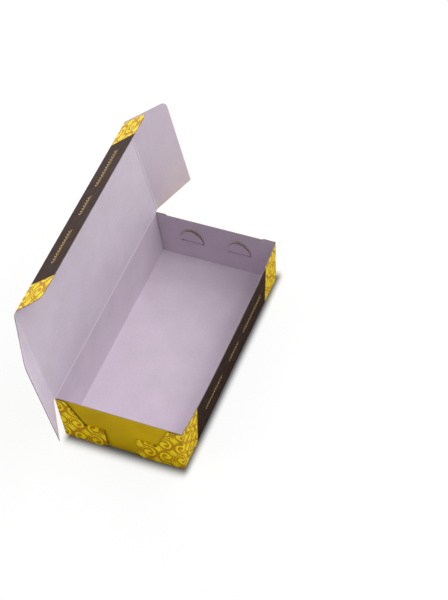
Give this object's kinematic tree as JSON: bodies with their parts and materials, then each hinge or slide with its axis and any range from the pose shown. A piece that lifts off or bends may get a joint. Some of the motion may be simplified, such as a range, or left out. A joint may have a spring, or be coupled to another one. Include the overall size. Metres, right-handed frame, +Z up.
{
  "type": "pastry carton",
  "caption": "Folding boxboard pastry carton: a shallow oblong tray locked at its corners, with a hinged lid, tuck flap and end flaps.",
  "frame": {"origin": "middle of the underside of the tray's floor panel", "axes": "+X across the carton from the hinge side to the front wall, +Y along it from the near end to the far end, +Z up"},
  "size_m": [0.1507, 0.337, 0.217],
  "materials": {
    "inner_board": "uncoated, pale lilac grey",
    "brown_board": "dark brown print under satin varnish",
    "yellow_board": "yellow print with ochre scrolls under satin varnish",
    "olive_board": "olive gold print under satin varnish"
  },
  "bodies": {
    "tray": {"floor_panel": "inner_board", "back_wall": "brown_board", "front_wall": "brown_board", "near_end_wall": "olive_board", "far_end_wall": "olive_board", "near_back_corner_flap": "yellow_board", "near_front_corner_flap": "yellow_board", "far_back_corner_flap": "yellow_board", "far_front_corner_flap": "yellow_board", "near_back_lock_tongue": "inner_board", "near_front_lock_tongue": "inner_board", "far_back_lock_tongue": "inner_board", "far_front_lock_tongue": "inner_board"},
    "lid": {"lid_panel": "brown_board"},
    "front_flap": {"lid_front_flap": "brown_board"},
    "near_end_flap": {"near_lid_end_flap": "yellow_board"},
    "far_end_flap": {"far_lid_end_flap": "yellow_board"}
  },
  "joints": [
    {"name": "lid_hinge", "type": "hinge", "parent": "tray", "child": "lid", "pos_m": [-0.0642, 0, 0.0606], "axis": [0, -1, 0], "range_deg": [-97, 86]},
    {"name": "front_flap_fold", "type": "hinge", "parent": "lid", "child": "front_flap", "pos_m": [-0.07998, 0, 0.18913], "axis": [0, 1, 0], "range_deg": [-46.5, 52.5]},
    {"name": "near_end_flap_fold", "type": "hinge", "parent": "lid", "child": "near_end_flap", "pos_m": [-0.0642, -0.1242, 0.0606], "axis": [-0.1219, 0, 0.9925], "range_deg": [-33, 57]},
    {"name": "far_end_flap_fold", "type": "hinge", "parent": "lid", "child": "far_end_flap", "pos_m": [-0.0642, 0.1242, 0.0606], "axis": [0.1219, 0, -0.9925], "range_deg": [-22, 68]}
  ],
  "couplings": [
    {"joint": "front_flap_fold", "follows": "lid_hinge", "ratio": -0.54}
  ]
}
